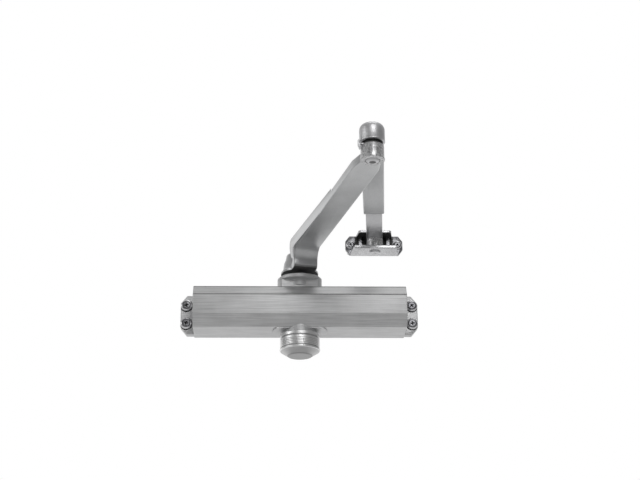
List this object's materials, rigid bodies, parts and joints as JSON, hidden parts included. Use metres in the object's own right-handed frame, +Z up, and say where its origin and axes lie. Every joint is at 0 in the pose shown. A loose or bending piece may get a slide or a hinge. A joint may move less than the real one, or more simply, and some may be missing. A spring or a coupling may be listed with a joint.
{
  "type": "door closer",
  "caption": "Surface door closer: chamfered body on lugs, pinion with domed lower cap, cranked main arm, sliding forearm and pivoting frame shoe.",
  "frame": {"origin": "centre of the four-screw pattern on the door face of the body", "axes": "+X along the body, +Y into the door, +Z up along the pinion axis"},
  "size_m": [0.242, 0.3045, 0.1442],
  "materials": {
    "silver_paint": "satin metallic paint",
    "silver_steel": "satin metallic paint",
    "satin_cap": "turned satin",
    "satin_steel": "turned satin",
    "zinc_plate": "bright zinc plate",
    "chrome_screw": "bright plated",
    "steel": "machined",
    "black_steel": "black oxide",
    "bronze": "sintered bronze",
    "brass_valve": "machined brass",
    "seal_rubber": "nitrile"
  },
  "bodies": {
    "closer_body": {"body_casting": "silver_paint", "spring_end_plug": "steel", "front_end_plug": "steel", "spring_plug_seal": "seal_rubber", "front_plug_seal": "seal_rubber", "power_screw_seal": "seal_rubber", "upper_bearing": "bronze", "lower_bearing": "bronze", "upper_shaft_seal": "seal_rubber", "lower_shaft_seal": "seal_rubber", "upper_gland": "silver_paint", "lower_gland": "steel", "pinion_cap": "satin_cap", "body_screws": "chrome_screw"},
    "pinion_and_arm": {"pinion_shaft": "steel", "main_arm": "silver_paint", "arm_washer": "steel", "arm_screw": "steel", "elbow_pin": "satin_steel", "elbow_washer": "satin_steel", "elbow_clip": "black_steel"},
    "piston_group": {"piston": "steel", "check_retainer": "steel", "outer_spring": "black_steel", "inner_spring": "black_steel"},
    "check_ball": {"check_ball": "steel"},
    "forearm": {"forearm_head": "satin_steel", "head_plug": "satin_steel", "elbow_bushing": "bronze", "forearm_channel": "silver_steel", "forearm_rivets": "satin_steel", "clamp_block": "silver_steel", "clamp_screws": "black_steel"},
    "rod": {"forearm_rod": "silver_steel", "shoe_bushing": "bronze"},
    "shoe": {"shoe_bracket": "zinc_plate", "shoe_pin": "zinc_plate", "shoe_pin_clip": "black_steel", "shoe_screws": "chrome_screw"},
    "power_adjuster": {"power_screw": "steel"},
    "spring_seat": {"spring_seat": "steel"},
    "sweep_adjuster": {"sweep_valve": "brass_valve", "sweep_valve_seal": "seal_rubber"},
    "latch_adjuster": {"latch_valve": "brass_valve", "latch_valve_seal": "seal_rubber"},
    "backcheck_adjuster": {"backcheck_valve": "brass_valve", "backcheck_valve_seal": "seal_rubber"}
  },
  "joints": [
    {"name": "pinion_turn", "type": "hinge", "parent": "closer_body", "child": "pinion_and_arm", "pos_m": [0, -0.02325, 0], "axis": [0, 0, 1], "range_deg": [0, 160], "stiffness_Nm_per_rad": 6, "springref_deg": -85.94},
    {"name": "piston_slide", "type": "slide", "parent": "closer_body", "child": "piston_group", "axis": [-1, 0, 0], "range_m": [0, 0.0196], "deforming": ["outer_spring", "inner_spring"]},
    {"name": "check_ball_slide", "type": "slide", "parent": "piston_group", "child": "check_ball", "axis": [-1, 0, 0], "range_m": [0, 0.0012]},
    {"name": "elbow_turn", "type": "hinge", "parent": "pinion_and_arm", "child": "forearm", "pos_m": [0.05793, -0.2683, 0.0817], "axis": [0, 0, 1], "range_deg": [-140, 15]},
    {"name": "rod_slide", "type": "slide", "parent": "forearm", "child": "rod", "axis": [0.0801, 0.9968, 0], "range_m": [-0.02, 0.02]},
    {"name": "shoe_turn", "type": "hinge", "parent": "rod", "child": "shoe", "pos_m": [0.0784, -0.0135, 0.079], "axis": [0, 0, 1], "range_deg": [-70, 70]},
    {"name": "sweep_valve_turn", "type": "hinge", "parent": "closer_body", "child": "sweep_adjuster", "pos_m": [0.1, -0.03685, 0.0154], "axis": [1, 0, 0], "range_deg": [-180, 180]},
    {"name": "latch_valve_turn", "type": "hinge", "parent": "closer_body", "child": "latch_adjuster", "pos_m": [0.1, -0.03685, -0.0154], "axis": [1, 0, 0], "range_deg": [-180, 180]},
    {"name": "backcheck_valve_turn", "type": "hinge", "parent": "closer_body", "child": "backcheck_adjuster", "pos_m": [-0.1, -0.03685, 0.0154], "axis": [1, 0, 0], "range_deg": [-180, 180]},
    {"name": "power_screw_turn", "type": "hinge", "parent": "closer_body", "child": "power_adjuster", "pos_m": [-0.1, -0.02325, 0], "axis": [1, 0, 0], "range_deg": [0, 720]},
    {"name": "spring_seat_slide", "type": "slide", "parent": "closer_body", "child": "spring_seat", "axis": [1, 0, 0], "range_m": [0, 0.006], "deforming": ["outer_spring", "inner_spring"]}
  ],
  "couplings": [
    {"joint": "piston_slide", "follows": "pinion_turn", "m_per_rad": 0.007},
    {"joint": "power_screw_turn", "follows": "spring_seat_slide", "rad_per_m": 2094.4}
  ]
}
